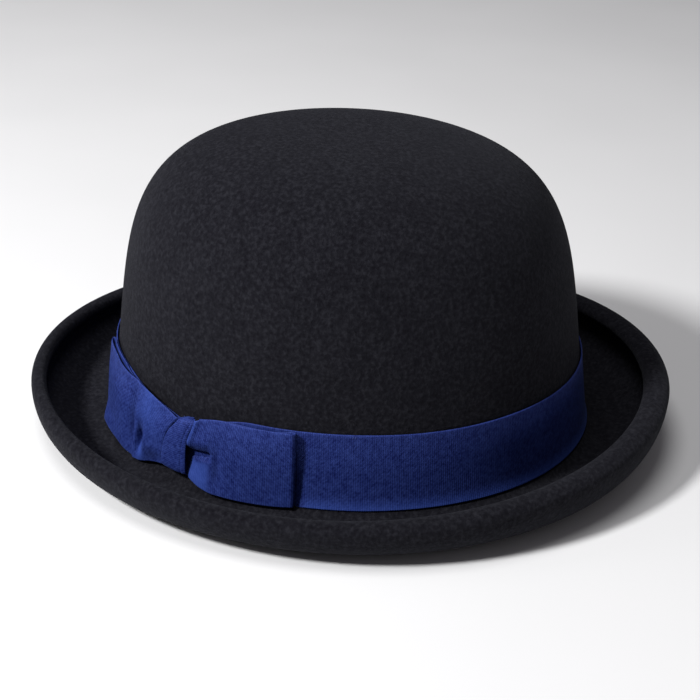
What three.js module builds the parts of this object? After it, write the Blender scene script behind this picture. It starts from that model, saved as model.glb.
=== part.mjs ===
// Bowler hat: felt body, ribbon band with a two-loop bow, and the fittings inside the crown.
// Millimetres, +Z up. The wearer faces -Y and the bow is on the wearer's left (+X), towards
// the front. The origin is the centre of the head opening, on the plane the brim rests on.
//
// Terms used throughout:
//   theta  angle round the hat: 0 at the front, 90 degrees on the wearer's left
//   inset  distance inside the felt's outer face; negative values lie outside it
import * as THREE from "three";

// ---- dimensions ----

// Crown
const FELT = 2.6; // thickness of the stiffened felt
const CROWN_HALF_LENGTH = 104.6; // outer half length at the foot of the ribbon
const CROWN_HALF_WIDTH = 89.9; // outer half width at the foot of the ribbon
const CROWN_TOP = 129.1; // height of the crown's top above the rest plane
const CROWN_TAPER = 0.146; // how much the sides draw in from foot to top, as a fraction
const SHOULDER_POWER = 6.2; // shoulder shape: larger is squarer
const ROOF_POWER = 3.3; // roof shape: larger is flatter
const CROWN_LEAN = 4.5; // how far the top sits forward of the foot
const BREAK_RADIUS = 3; // radius of the upper face where the crown turns into the brim
const CROWN_FOOT = BREAK_RADIUS + FELT; // where the crown's wall leaves the break

// Brim, measured outwards from the ribbon's outer face
const FLOOR_END = 12.1; // where the flat floor ends and the curl begins
const LIP_REACH = 29; // distance out to the middle of the lip
const LIP_REACH_FRONT = 1.2; // added at the front, taken off at the back
const LIP_REACH_ENDS = 0.8; // added at front and back, taken off at the sides
const LIP_HALF = 4.4; // half width of the turned-in lip
const LIP_HALF_FRONT = -1.2; // added at the front, taken off at the back
const LIP_RISE = 3.74; // height of the lip's top above its middle
const LIP_Z = 19.25; // height of the lip's middle
const LIP_Z_ENDS = 3.4; // added at front and back, taken off at the sides
const LIP_Z_FRONT = -3.3; // added at the front, taken off at the back

// The lip's rounded edge: distance out from the lip's innermost line, and depth below its
// middle.
const LIP_EDGE = [[FELT - 0.4, 0.9], [FELT / 2, 1.5], [0.4, 0.9]];

// Ribbon
const BAND_FOOT = 5.1; // height of the ribbon's lower edge
const BAND_HEIGHT = 33; // ribbon width
const RIBBON = 0.7; // ribbon thickness
const GAP = 0.3; // clearance between neighbouring pieces
const FACE = RIBBON + GAP; // how far the ribbon's outer face stands off the felt
const THREAD_RADIUS = 0.25;

// Bow, and how it draws the ribbon together
const BOW_ALONG = 76.6; // distance of the knot's middle from the front, along the ribbon
const PINCH_TOP = 7.4; // how far the bow draws the ribbon's top edge down
const PINCH_FOOT = 1.2; // how far it draws the ribbon's foot up
const PINCH_FORWARD = 2; // how far the tightest place lies forward of the knot's middle
const PINCH_REACH = { forward: 36, rearward: 30 }; // how far the drawing-in carries

// Inside the crown
const LINING = 0.5; // thickness
const LINING_SLACK = 0.2; // extra clearance between the side lining and the felt
const LINING_FOOT = 24;
const LINING_SEAM = 102; // height where the side lining meets the tip
const LINING_INSET = FELT + GAP + LINING_SLACK;
const TIP_INSET = FELT + 1.6; // the lining tip hangs this far below the crown's outer face
const SWEATBAND = 1.2; // thickness
const SWEATBAND_FOOT = 1.2;
const SWEATBAND_TOP = 38;
const SWEATBAND_INSET = FELT + GAP + LINING + 2 * GAP;
const SWEATBAND_INNER = SWEATBAND_INSET + SWEATBAND;
const REED_RADIUS = 0.7;
const REED_Z = 2;
const STITCHING_Z = 3.6;

// Mesh resolution
const SEGMENTS = 60; // round every oval piece, so that neighbours share their facets
const DOME_SAMPLES = 400; // for measuring the length of the dome's curve
const ARC_STEPS = 720; // for measuring the ribbon from front to back

// ---- numbers ----

const clamp01 = (x) => Math.min(1, Math.max(0, x));
const lerp = (start, end, t) => start + (end - start) * t;
const range = (count, start, end) =>
  Array.from({ length: count }, (_, i) => lerp(start, end, i / (count - 1)));
const cosDeg = (degrees) => Math.cos(THREE.MathUtils.degToRad(degrees));
const sinDeg = (degrees) => Math.sin(THREE.MathUtils.degToRad(degrees));

// A smooth step from 0 up to height.
function ramp(x, { from, to, height = 1 }) {
  const t = clamp01((x - from) / (to - from));
  return height * t * t * (3 - 2 * t);
}

// A bell-shaped bump.
const hump = (x, { middle, width, height = 1 }) =>
  height * Math.exp(-Math.pow((x - middle) / width, 2));

// Straight lines through a list of [x, y] pairs.
function interpolate(pairs, x) {
  let i = 0;
  while (i + 2 < pairs.length && pairs[i + 1][0] < x) i++;
  const [[x0, y0], [x1, y1]] = [pairs[i], pairs[i + 1]];
  return lerp(y0, y1, clamp01((x - x0) / (x1 - x0)));
}

// ---- the crown's oval ----

// How much of its foot size the crown keeps at a fraction of its height.
function domeScale(fraction) {
  const f = clamp01(fraction);
  return (1 - CROWN_TAPER * f) * Math.pow(1 - Math.pow(f, SHOULDER_POWER), 1 / ROOF_POWER);
}

function crownHalfAxes(inset, z) {
  const scale = domeScale((z - BAND_FOOT) / (CROWN_TOP - inset - BAND_FOOT));
  return {
    length: (CROWN_HALF_LENGTH - inset) * scale,
    width: (CROWN_HALF_WIDTH - inset) * scale,
  };
}

const lean = (z) => -CROWN_LEAN * clamp01((z - BAND_FOOT) / (CROWN_TOP - BAND_FOOT));

function onCrown(inset, z, theta) {
  const half = crownHalfAxes(inset, z);
  return new THREE.Vector3(
    half.width * Math.sin(theta),
    lean(z) - half.length * Math.cos(theta),
    z,
  );
}

// Level direction pointing outwards from the crown.
const outward = (theta) =>
  new THREE.Vector3(
    Math.sin(theta) / CROWN_HALF_WIDTH,
    -Math.cos(theta) / CROWN_HALF_LENGTH,
    0,
  ).normalize();

// Heights that follow the dome's curve evenly from the foot up to just below the top.
function domeHeights(inset, foot, count) {
  const top = CROWN_TOP - inset;
  const samples = range(DOME_SAMPLES + 1, 0, 1).map((t) => {
    const z = lerp(foot, top, 1 - Math.pow(1 - t, 3));
    return { z, half: crownHalfAxes(inset, z).length };
  });
  const travelled = [0];
  for (let i = 1; i < samples.length; i++) {
    const [before, here] = [samples[i - 1], samples[i]];
    travelled.push(travelled[i - 1] + Math.hypot(here.half - before.half, here.z - before.z));
  }
  const heights = [];
  let i = 0;
  for (let k = 0; k < count; k++) {
    const target = (travelled[DOME_SAMPLES] * k) / count;
    while (i + 1 < samples.length && travelled[i + 1] < target) i++;
    const t = (target - travelled[i]) / (travelled[i + 1] - travelled[i] || 1);
    heights.push(lerp(samples[i].z, samples[i + 1].z, t));
  }
  return heights;
}

// ---- solids ----

const quad = (a, b, c, d) => [a, b, c, a, c, d];

function signedVolume(points, triangles) {
  let volume = 0;
  for (let i = 0; i < triangles.length; i += 3) {
    const [a, b, c] = [0, 1, 2].map((k) => points[triangles[i + k]]);
    volume += a.dot(new THREE.Vector3().crossVectors(b, c)) / 6;
  }
  return volume;
}

// Geometry from indexed triangles, turned to face outwards.
function solid(points, triangles) {
  if (signedVolume(points, triangles) < 0) {
    for (let i = 0; i < triangles.length; i += 3) {
      [triangles[i + 1], triangles[i + 2]] = [triangles[i + 2], triangles[i + 1]];
    }
  }
  const geometry = new THREE.BufferGeometry().setFromPoints(points);
  geometry.setIndex(triangles);
  geometry.computeVertexNormals();
  return geometry;
}

// A section swept round the hat. Each entry gives a point for an angle. A section either
// closes on itself or starts and ends with a pole, a single point at the middle of the top.
function sweepRound(section) {
  const points = [];
  const rings = section.map(({ at, pole }) =>
    Array.from({ length: pole ? 1 : SEGMENTS }, (_, i) => {
      points.push(at((2 * Math.PI * i) / SEGMENTS));
      return points.length - 1;
    }),
  );
  const spans = section[0].pole ? rings.length - 1 : rings.length;
  const triangles = [];
  for (let k = 0; k < spans; k++) {
    const ring = rings[k];
    const next = rings[(k + 1) % rings.length];
    for (let i = 0; i < SEGMENTS; i++) {
      const j = (i + 1) % SEGMENTS;
      if (ring.length === 1) triangles.push(ring[0], next[i], next[j]);
      else if (next.length === 1) triangles.push(ring[i], next[0], ring[j]);
      else triangles.push(...quad(ring[i], next[i], next[j], ring[j]));
    }
  }
  return solid(points, triangles);
}

const pole = (z) => ({
  pole: true,
  at: () => new THREE.Vector3(0, lean(CROWN_TOP), z),
});

// Rings that follow the crown at the given heights.
const crownRings = (inset, heights) =>
  heights.map((z) => ({ at: (theta) => onCrown(inset, z, theta) }));

// A row of closed loops of points, capped at both ends.
function capped(loops) {
  const size = loops[0].length;
  const triangles = [];
  for (let k = 0; k + 1 < loops.length; k++) {
    const here = k * size;
    const next = here + size;
    for (let i = 0; i < size; i++) {
      const j = (i + 1) % size;
      triangles.push(...quad(here + i, next + i, next + j, here + j));
    }
  }
  const end = (loops.length - 1) * size;
  for (let i = 1; i + 1 < size; i++) {
    triangles.push(0, i, i + 1);
    triangles.push(end, end + i + 1, end + i);
  }
  return solid(loops.flat(), triangles);
}

// A grid of points given a thickness, half of it to either side.
function thickSheet(rows, thickness) {
  const lastRow = rows.length - 1;
  const lastColumn = rows[0].length - 1;
  const offsetFace = (distance) =>
    rows.flatMap((row, i) => {
      const before = rows[Math.max(0, i - 1)];
      const after = rows[Math.min(lastRow, i + 1)];
      return row.map((point, j) => {
        const lengthwise = after[j].clone().sub(before[j]);
        const crosswise = row[Math.min(lastColumn, j + 1)].clone().sub(row[Math.max(0, j - 1)]);
        const normal = lengthwise.cross(crosswise).normalize();
        return point.clone().addScaledVector(normal, distance);
      });
    });
  const points = [...offsetFace(thickness / 2), ...offsetFace(-thickness / 2)];
  const A = (i, j) => i * (lastColumn + 1) + j;
  const B = (i, j) => points.length / 2 + A(i, j);
  const triangles = [];
  const addQuad = (...corners) => triangles.push(...quad(...corners));
  for (let i = 0; i < lastRow; i++) {
    for (let j = 0; j < lastColumn; j++) {
      addQuad(A(i, j), A(i + 1, j), A(i + 1, j + 1), A(i, j + 1));
      addQuad(B(i, j), B(i, j + 1), B(i + 1, j + 1), B(i + 1, j));
    }
    addQuad(A(i, 0), B(i, 0), B(i + 1, 0), A(i + 1, 0));
    addQuad(A(i, lastColumn), A(i + 1, lastColumn), B(i + 1, lastColumn), B(i, lastColumn));
  }
  for (let j = 0; j < lastColumn; j++) {
    addQuad(A(0, j), A(0, j + 1), B(0, j + 1), B(0, j));
    addQuad(A(lastRow, j), B(lastRow, j), B(lastRow, j + 1), A(lastRow, j + 1));
  }
  return solid(points, triangles);
}

// ---- felt body: crown and brim in one piece ----

const lipReach = (theta) =>
  LIP_REACH + LIP_REACH_FRONT * Math.cos(theta) + LIP_REACH_ENDS * Math.cos(2 * theta);
const lipHalf = (theta) => LIP_HALF + LIP_HALF_FRONT * Math.cos(theta);
const lipZ = (theta) =>
  LIP_Z + LIP_Z_ENDS * Math.cos(2 * theta) + LIP_Z_FRONT * Math.cos(theta);

// A brim ring: distance out from the ribbon's face and height, as functions of theta.
const brimRing = (out, up) => ({
  at: (theta) => {
    const distance = FACE + out(theta);
    return new THREE.Vector3(
      (CROWN_HALF_WIDTH + distance) * Math.sin(theta),
      -(CROWN_HALF_LENGTH + distance) * Math.cos(theta),
      up(theta),
    );
  },
});

// The next three give rings at angles round an arc of the brim's section. Depth is how far
// they lie into the felt: from the upper face for the break, from the outside for the others.
const breakRings = (depth, angles) =>
  angles.map((angle) =>
    brimRing(
      () => BREAK_RADIUS - FACE + (BREAK_RADIUS + depth) * cosDeg(angle),
      () => FELT - depth + (BREAK_RADIUS + depth) * (1 + sinDeg(angle)),
    ),
  );

const curlRings = (depth, angles) =>
  angles.map((angle) =>
    brimRing(
      (theta) =>
        FLOOR_END + (lipReach(theta) + lipHalf(theta) - depth - FLOOR_END) * cosDeg(angle),
      (theta) => depth * sinDeg(angle) + lipZ(theta) * (1 - sinDeg(angle)),
    ),
  );

const lipRings = (depth, angles) =>
  angles.map((angle) =>
    brimRing(
      (theta) => lipReach(theta) + (lipHalf(theta) - depth) * cosDeg(angle),
      (theta) => lipZ(theta) + (LIP_RISE - depth) * sinDeg(angle),
    ),
  );

const lipEdgeRings = () =>
  LIP_EDGE.map(([out, down]) =>
    brimRing(
      (theta) => lipReach(theta) - lipHalf(theta) + out,
      (theta) => lipZ(theta) - down,
    ),
  );

const feltBody = () =>
  sweepRound([
    // outside of the crown, from the top down
    pole(CROWN_TOP),
    ...crownRings(0, domeHeights(0, CROWN_FOOT, 14).reverse()),
    // upper face of the brim, out to the lip's edge
    ...breakRings(0, [205, 230, 270]),
    ...curlRings(FELT, [90, 68, 48, 30, 13]),
    ...lipRings(FELT, [10, 90, 170]),
    ...lipEdgeRings(),
    // over the lip, down the outside of the curl and in along the flat underside
    ...lipRings(0, [175, 142, 112, 85, 58, 30, 0]),
    ...curlRings(0, [16, 32, 50, 69, 90]),
    // edge of the head opening
    ...breakRings(FELT, [270, 235, 205]),
    // inside of the crown, up to the top
    ...crownRings(FELT, domeHeights(FELT, CROWN_FOOT, 11)),
    pole(CROWN_TOP - FELT),
  ]);

// ---- places on the ribbon ----
// along: distance from the front, round the wearer's left side
// up: height above the ribbon's foot
// out: distance out from the ribbon's outer face

// Distance from the front at equal steps of theta, along the ribbon's middle height.
const arc = [0];
for (let i = 1; i <= ARC_STEPS; i++) {
  const [before, here] = [i - 1, i].map((step) =>
    onCrown(-FACE, BAND_FOOT + BAND_HEIGHT / 2, (Math.PI * step) / ARC_STEPS),
  );
  arc.push(arc[i - 1] + before.distanceTo(here));
}

function thetaAt(along) {
  let i = 0;
  while (i + 1 < ARC_STEPS && arc[i + 1] < along) i++;
  return (Math.PI * (i + (along - arc[i]) / (arc[i + 1] - arc[i]))) / ARC_STEPS;
}

function alongAt(theta) {
  const step = (theta / Math.PI) * ARC_STEPS;
  const i = Math.min(ARC_STEPS - 1, Math.floor(step));
  return lerp(arc[i], arc[i + 1], step - i);
}

function onBand(along, up, out) {
  const theta = thetaAt(along);
  return onCrown(-FACE, BAND_FOOT + up, theta).addScaledVector(outward(theta), out);
}

// ---- hatband ----

// Height at a fraction of the ribbon's width: the bow draws its edges together.
function bandZ(fraction, theta) {
  const along = theta <= Math.PI ? alongAt(theta) : Infinity;
  const offset = along - BOW_ALONG + PINCH_FORWARD;
  const reach = offset < 0 ? PINCH_REACH.forward : PINCH_REACH.rearward;
  const pull = 1 - ramp(Math.abs(offset), { from: 0, to: reach });
  return BAND_FOOT + lerp(PINCH_FOOT * pull, BAND_HEIGHT - PINCH_TOP * pull, fraction);
}

function hatband() {
  const fractions = range(4, 0, 1);
  const rings = (inset, list) =>
    list.map((f) => ({ at: (theta) => onCrown(inset, bandZ(f, theta), theta) }));
  return sweepRound([...rings(-FACE, fractions), ...rings(-GAP, [...fractions].reverse())]);
}

// ---- bow loops ----
// dist: distance from the knot's middle
// across: fraction of the loop's width, 0 at the lower edge and 1 at the upper

// How far the front loop's outer layer stands off the ribbon. Ranges are in dist, or in
// across for names that end in Across.
const FRONT_RELIEF = {
  neck: 2.6, // stand-off at the root
  neckRise: { height: 1.9, from: 8, to: 16 },
  swell: { height: 0.6, middle: 15.5, width: 5 },
  hollow: { height: 2.2, middle: 21, width: 3 },
  hollowAcross: { middle: 0.38, width: 0.22 },
  crease: { middle: 26.5, width: 3 },
  fall: { height: 1.6, from: 32, to: 58 }, // thins towards the fold
  // upper edge, drawn in towards the ribbon
  top: 0.8,
  topMore: { height: 0.6, from: 14, to: 24 },
  topLess: { height: 0.9, from: 46, to: 60 },
  topStart: { from: 8, to: 12 },
  topAcross: { from: 0.6, to: 1 },
  // lower edge, tucked in near the root and lifted near the fold
  tuck: { height: 1.3, from: 8, to: 12 },
  tuckFade: { from: 12, to: 25 },
  footLift: { height: 1.4, from: 34, to: 52 },
  footAcross: { from: 0, to: 0.3 },
};

function frontDepth(dist, across) {
  const form = FRONT_RELIEF;
  const neck = form.neck + ramp(dist, form.neckRise) + hump(dist, form.swell);
  const hollow = hump(dist, form.hollow) * hump(across, form.hollowAcross);
  const top = form.top + ramp(dist, form.topMore) - ramp(dist, form.topLess);
  const tuck = ramp(dist, form.tuck) * (1 - ramp(dist, form.tuckFade));
  const foot = ramp(dist, form.footLift) - tuck;
  return (
    neck -
    hollow -
    hump(dist, form.crease) -
    ramp(dist, form.fall) +
    foot * (1 - ramp(across, form.footAcross)) -
    top * ramp(dist, form.topStart) * ramp(across, form.topAcross)
  );
}

// The same for the rear loop, whose lower part opens out more slowly than its upper part.
const REAR_RELIEF = {
  upper: 3, // stand-off at the root
  upperRise: { height: 1.4, from: 9, to: 13 },
  lower: 1.8, // stand-off at the root
  lowerRise: { height: 2.6, from: 8, to: 16.5 },
  blendAcross: { from: 0.38, to: 0.52 }, // where lower turns into upper
};

function rearDepth(dist, across) {
  const form = REAR_RELIEF;
  const upper = form.upper + ramp(dist, form.upperRise);
  const lower = form.lower + ramp(dist, form.lowerRise);
  return lerp(lower, upper, ramp(across, form.blendAcross));
}

// side: the way the loop runs, -1 forwards and 1 rearwards
// root, end: distance of the root and of the fold from the knot's middle, at the lower and
// upper edge
// low, high: the lower and upper edge, as pairs of distance from the knot's middle and
// height above the ribbon's foot
const FRONT_LOOP = {
  side: -1,
  root: [8.6, 8.6],
  end: [56.5, 63],
  low: [
    [8, 3.7], [13.8, 2], [17.8, 0.5], [22, -0.7], [27, -1.1],
    [33, -0.2], [47, 0.2], [57, -0.5], [63, -0.7],
  ],
  high: [
    [8, 30.3], [10.1, 31.1], [14.3, 32.4], [20, 33], [30, 33.4], [46, 33.4], [63, 34.4],
  ],
  depth: frontDepth,
};
const REAR_LOOP = {
  side: 1,
  root: [8.2, 10.6],
  end: [51, 51],
  low: [[8, 3.8], [11, 2.7], [14.5, 1.6], [20, 0.4], [42, 0.5], [51, 1]],
  high: [[8, 29.6], [13.6, 31.9], [18, 32.8], [21, 33.2], [29, 33], [51, 33.3]],
  depth: rearDepth,
};

const FOLD_REACH = 1.9; // how far the fold bulges past the end of the flat layers
const LOOP_COLUMNS = [0, 0.2, 0.4, 0.5, 0.75, 1]; // fractions across the loop
// Rows of the outer layer as distances from the root, close together near the knot
const ROOT_ROWS = [0, 2, 4.2, 6.5, 9, 11.5, 14, 17, 20, 24, 30];
const ROOT_ZONE = ROOT_ROWS[ROOT_ROWS.length - 1];

// One loop: ribbon that runs out along the band, folds over and comes back on top.
function bowLoop({ side, root, end, low, high, depth }) {
  const under = GAP + RIBBON / 2; // stand-off of the layer against the band
  // place gives [dist, out] from the root's distance, the turn's distance and across
  const row = (place) =>
    LOOP_COLUMNS.map((across) => {
      const start = lerp(...root, across);
      const turn = lerp(...end, across) - FOLD_REACH;
      const [dist, out] = place(start, turn, across);
      const up = lerp(interpolate(low, dist), interpolate(high, dist), across);
      return onBand(BOW_ALONG + side * dist, up, out);
    });
  const underRow = (t) => row((start, turn) => [lerp(start, turn, t), under]);
  const foldRow = (angle) =>
    row((start, turn, across) => {
      const half = (depth(turn, across) - under) / 2;
      return [turn + FOLD_REACH * cosDeg(angle), under + half + half * sinDeg(angle)];
    });
  const outerRow = (distAt) =>
    row((start, turn, across) => {
      const dist = distAt(start, turn);
      return [dist, depth(dist, across)];
    });
  const rows = [
    ...range(9, 0, 1).map(underRow),
    ...[-45, 0, 45].map(foldRow),
    ...[1, 0.66, 0.33].map((t) =>
      outerRow((start, turn) => lerp(start + ROOT_ZONE, turn, t)),
    ),
    ...[...ROOT_ROWS].reverse().map((step) => outerRow((start) => start + step)),
  ];
  return thickSheet(rows, RIBBON);
}

// ---- bow knot: ribbon wrapped round the middle of the bow ----

// The knot leans rearwards: height above the ribbon's foot, and the front and rear edge of
// its face at that height, from the knot's middle.
const KNOT = [
  [4.6, -6.5, 6.3],
  [5.6, -6.5, 6.3],
  [11, -5.8, 6.2],
  [16, -5, 6.3],
  [22, -2.8, 7.1],
  [27, 0.2, 8.3],
  [28.6, 1.1, 8.6],
  [29.4, 1.4, 8.6],
];
const KNOT_FLANK = -6.9; // where the knot's front flank meets the ribbon
const KNOT_FLANK_LIFT = 1.9; // height of that flank off the ribbon
const KNOT_LIFT = { ends: 3.6, middle: 6.2 }; // how far the face stands off the ribbon
const KNOT_ROUND_POWER = 7; // larger keeps the full lift closer to the ends
const KNOT_CORNER = 1.4; // width and depth of the face's rounded corners
const KNOT_BULGE = 0.3; // how far the middle of the face stands above its corners

function bowKnot() {
  const foot = KNOT[0][0];
  const top = KNOT[KNOT.length - 1][0];
  return capped(
    KNOT.map(([up, front, rear]) => {
      const fromMiddle = Math.abs((2 * (up - foot)) / (top - foot) - 1);
      const round = Math.sqrt(Math.max(0, 1 - Math.pow(fromMiddle, KNOT_ROUND_POWER)));
      const lift = lerp(KNOT_LIFT.ends, KNOT_LIFT.middle, round);
      return [
        [KNOT_FLANK, GAP],
        [rear, GAP],
        [rear, lift - KNOT_CORNER],
        [rear - KNOT_CORNER, lift - KNOT_BULGE],
        [(front + rear) / 2, lift],
        [front + KNOT_CORNER, lift - KNOT_BULGE],
        [front, lift - KNOT_CORNER],
        [KNOT_FLANK, KNOT_FLANK_LIFT],
      ].map(([offset, out]) => onBand(BOW_ALONG + offset, up, out));
    }),
  );
}

// ---- tacks: short upright thread stitches ----

// Name, distance from the front, lower and upper end, distance out from the ribbon's face
const TACKS = [
  ["bow_tack_upper", BOW_ALONG, 26.4, 28.2, -0.7],
  ["bow_tack_lower", BOW_ALONG, 1.9, 3.9, 0.35],
  ["hatband_tack_front", 4, 30.5, 32.6, 0.35],
  ["hatband_tack_left", 150, 30.5, 32.6, 0.35],
  ["hatband_tack_rear", 262, 30.5, 32.6, 0.35],
];

const tack = (along, foot, top, out) =>
  capped(
    [foot, top].map((up) => [
      onBand(along - THREAD_RADIUS, up, out),
      onBand(along + THREAD_RADIUS, up, out),
      onBand(along + THREAD_RADIUS, up, out + 2 * THREAD_RADIUS),
      onBand(along - THREAD_RADIUS, up, out + 2 * THREAD_RADIUS),
    ]),
  );

// ---- fittings inside the crown ----

// A sheet that follows the crown, its outer face at the inset.
const wall = (inset, thickness, heights) =>
  sweepRound([
    ...crownRings(inset, heights),
    ...crownRings(inset + thickness, [...heights].reverse()),
  ]);

// A cord that follows the crown.
const cord = (inset, z, radius, sides) =>
  sweepRound(
    Array.from({ length: sides }, (_, i) => (2 * Math.PI * i) / sides).map((angle) => ({
      at: (theta) =>
        onCrown(inset, z, theta)
          .addScaledVector(outward(theta), radius * Math.cos(angle))
          .add(new THREE.Vector3(0, 0, radius * Math.sin(angle))),
    })),
  );

const sweatband = () =>
  wall(SWEATBAND_INSET, SWEATBAND, [SWEATBAND_FOOT, ...range(4, BAND_FOOT, SWEATBAND_TOP)]);

const sweatbandReed = () => cord(SWEATBAND_INSET - GAP - REED_RADIUS, REED_Z, REED_RADIUS, 5);

const sweatbandStitching = () =>
  cord(SWEATBAND_INNER + GAP + THREAD_RADIUS, STITCHING_Z, THREAD_RADIUS, 3);

// Distance from the middle of the back, towards the wearer's left, and half height there
const REAR_BOW = [
  [-15, 4.2], [-12.5, 5], [-8, 4.4], [-2.4, 1.9],
  [2.4, 1.9], [8, 4.4], [12.5, 5], [15, 4.2],
];
const REAR_BOW_Z = 15; // height of its middle
const REAR_BOW_THICKNESS = 1.4;
const REAR_BOW_RADIUS = CROWN_HALF_WIDTH * 0.92; // turns its distances into angles

// The small ribbon bow that covers the sweatband's butt seam at the back.
function sweatbandRearBow() {
  const outer = SWEATBAND_INNER + GAP;
  const inner = outer + REAR_BOW_THICKNESS;
  return capped(
    REAR_BOW.map(([offset, half]) => {
      const theta = Math.PI - offset / REAR_BOW_RADIUS;
      return [
        onCrown(outer, REAR_BOW_Z - half, theta),
        onCrown(outer, REAR_BOW_Z + half, theta),
        onCrown(inner, REAR_BOW_Z + half, theta),
        onCrown(inner, REAR_BOW_Z - half, theta),
      ];
    }),
  );
}

const liningSide = () => wall(LINING_INSET, LINING, range(6, LINING_FOOT, LINING_SEAM));

function liningTip() {
  const foot = LINING_SEAM + GAP;
  const inner = TIP_INSET + LINING;
  return sweepRound([
    pole(CROWN_TOP - TIP_INSET),
    ...crownRings(TIP_INSET, domeHeights(TIP_INSET, foot, 8).reverse()),
    ...crownRings(inner, domeHeights(inner, foot, 8)),
    pole(CROWN_TOP - inner),
  ]);
}

// ---- materials ----

const BLACK_FELT = { color: 0x17181b, roughness: 0.95 };
const BLUE_RIBBON = { color: 0x1c3fae, roughness: 0.6 };
const BLUE_THREAD = { color: 0x17348f, roughness: 0.8 };
const TAN_LEATHER = { color: 0x6b4426, roughness: 0.55 };
const TAN_TRIM = { color: 0x6b4426, roughness: 0.6 };
const PALE_THREAD = { color: 0xc9b48a, roughness: 0.8 };
const BLACK_SATIN = { color: 0x1b1b1f, roughness: 0.35 };

// ---- assembly ----

const hat = new THREE.Group();
hat.name = "bowler_hat";

function add(name, geometry, finish) {
  const material = new THREE.MeshStandardMaterial({ ...finish, metalness: 0 });
  const mesh = new THREE.Mesh(geometry, material);
  mesh.name = name;
  hat.add(mesh);
}

add("felt_body", feltBody(), BLACK_FELT);
add("hatband", hatband(), BLUE_RIBBON);
add("bow_front_loop", bowLoop(FRONT_LOOP), BLUE_RIBBON);
add("bow_rear_loop", bowLoop(REAR_LOOP), BLUE_RIBBON);
add("bow_knot", bowKnot(), BLUE_RIBBON);
TACKS.forEach(([name, ...place]) => add(name, tack(...place), BLUE_THREAD));
add("sweatband", sweatband(), TAN_LEATHER);
add("sweatband_reed", sweatbandReed(), TAN_TRIM);
add("sweatband_stitching", sweatbandStitching(), PALE_THREAD);
add("sweatband_rear_bow", sweatbandRearBow(), TAN_TRIM);
add("lining_side", liningSide(), BLACK_SATIN);
add("lining_tip", liningTip(), BLACK_SATIN);

export default hat;
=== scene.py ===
"""Bowler hat: a felt hood with a curled brim, a ribbon round it with a bow, and a lined inside.

The front of the hat is at -Y, the wearer's left, with the bow, at +X, and up is +Z. The flat of
the brim rests on z = 0. The hat's sizes are in mm and its meshes in metres.
"""

import math

import bmesh
import bpy
import numpy as np
from mathutils import Matrix, Vector


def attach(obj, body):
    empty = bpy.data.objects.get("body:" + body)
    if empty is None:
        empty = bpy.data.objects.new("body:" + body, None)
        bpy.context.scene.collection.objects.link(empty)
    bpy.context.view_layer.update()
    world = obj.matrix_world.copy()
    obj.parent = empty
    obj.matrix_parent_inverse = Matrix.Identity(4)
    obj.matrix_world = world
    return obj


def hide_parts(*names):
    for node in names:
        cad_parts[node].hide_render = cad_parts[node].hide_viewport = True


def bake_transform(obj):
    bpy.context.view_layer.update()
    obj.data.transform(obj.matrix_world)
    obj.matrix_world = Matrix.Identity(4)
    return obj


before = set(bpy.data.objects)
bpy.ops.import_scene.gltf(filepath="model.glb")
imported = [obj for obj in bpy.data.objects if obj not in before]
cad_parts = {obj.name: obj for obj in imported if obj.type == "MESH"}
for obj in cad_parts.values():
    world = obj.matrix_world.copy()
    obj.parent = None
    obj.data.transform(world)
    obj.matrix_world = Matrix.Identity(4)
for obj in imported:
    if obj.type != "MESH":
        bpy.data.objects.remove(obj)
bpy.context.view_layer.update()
scene = bpy.context.scene

# ---------------------------------------------------------------- driving sizes, in mm

FELT = 2.6  # thickness
HALF_LENGTH = 104.6  # of the crown's outer face at its foot
HALF_WIDTH = 89.9
TOP = 129.1
TAPER = 0.146  # share of its width the crown loses on the way up
DOME_INNER_POWER = 6.2  # these two set how square the dome's shoulder is
DOME_OUTER_ROOT = 3.3
LEAN = 4.5  # how far the top sits forward of the foot
BREAK = 7.0  # radius of the turn from crown to brim, on the upper side
UNDER_BREAK = 3.0  # the same on the under side, less the felt
FLOOR_END = 12.1  # outer end of the brim's flat part
BAND_FOOT = 5.1
BAND_HEIGHT = 33.0
RIBBON = 0.7  # thickness
GAP = 0.3  # between one layer and the next
FACE = RIBBON + GAP  # from the felt to the ribbon's outer face
BRIM_HALF_LENGTH = HALF_LENGTH + FACE  # the ellipse that brim distances start from
BRIM_HALF_WIDTH = HALF_WIDTH + FACE
BOW_PLACE = 76.6  # middle of the knot, round the ribbon from the front
TAU = 2 * math.pi


# ---------------------------------------------------------------- profiles and places


def smooth(x, start, end):
    """A soft step from 0 at start to 1 at end."""
    f = np.clip((x - start) / (end - start), 0, 1)
    return f * f * (3 - 2 * f)


def hump(x, centre, width):
    return np.exp(-(((x - centre) / width) ** 2))


def skew_hump(x, centre, below, above):
    """A hump with a different width on each side of its middle."""
    return hump(x, centre, np.where(x < centre, below, above))


def curve(points, x):
    """A smooth line through points that does not overshoot them."""
    px, py = np.array(points, float).T
    gap = np.diff(px)
    slope = np.diff(py) / gap
    tangent = np.zeros(len(px))
    tangent[0], tangent[-1] = slope[0], slope[-1]
    for i in range(1, len(px) - 1):
        if slope[i - 1] * slope[i] > 0:
            before, after = 2 * gap[i] + gap[i - 1], gap[i] + 2 * gap[i - 1]
            tangent[i] = (before + after) / (before / slope[i - 1] + after / slope[i])
    x = np.clip(x, px[0], px[-1])
    k = np.clip(np.searchsorted(px, x, side="right") - 1, 0, len(px) - 2)
    f = (x - px[k]) / gap[k]
    start = (1 + 2 * f) * (1 - f) ** 2 * py[k] + f * (1 - f) ** 2 * gap[k] * tangent[k]
    end = f * f * (3 - 2 * f) * py[k + 1] + f * f * (f - 1) * gap[k] * tangent[k + 1]
    return start + end


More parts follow.
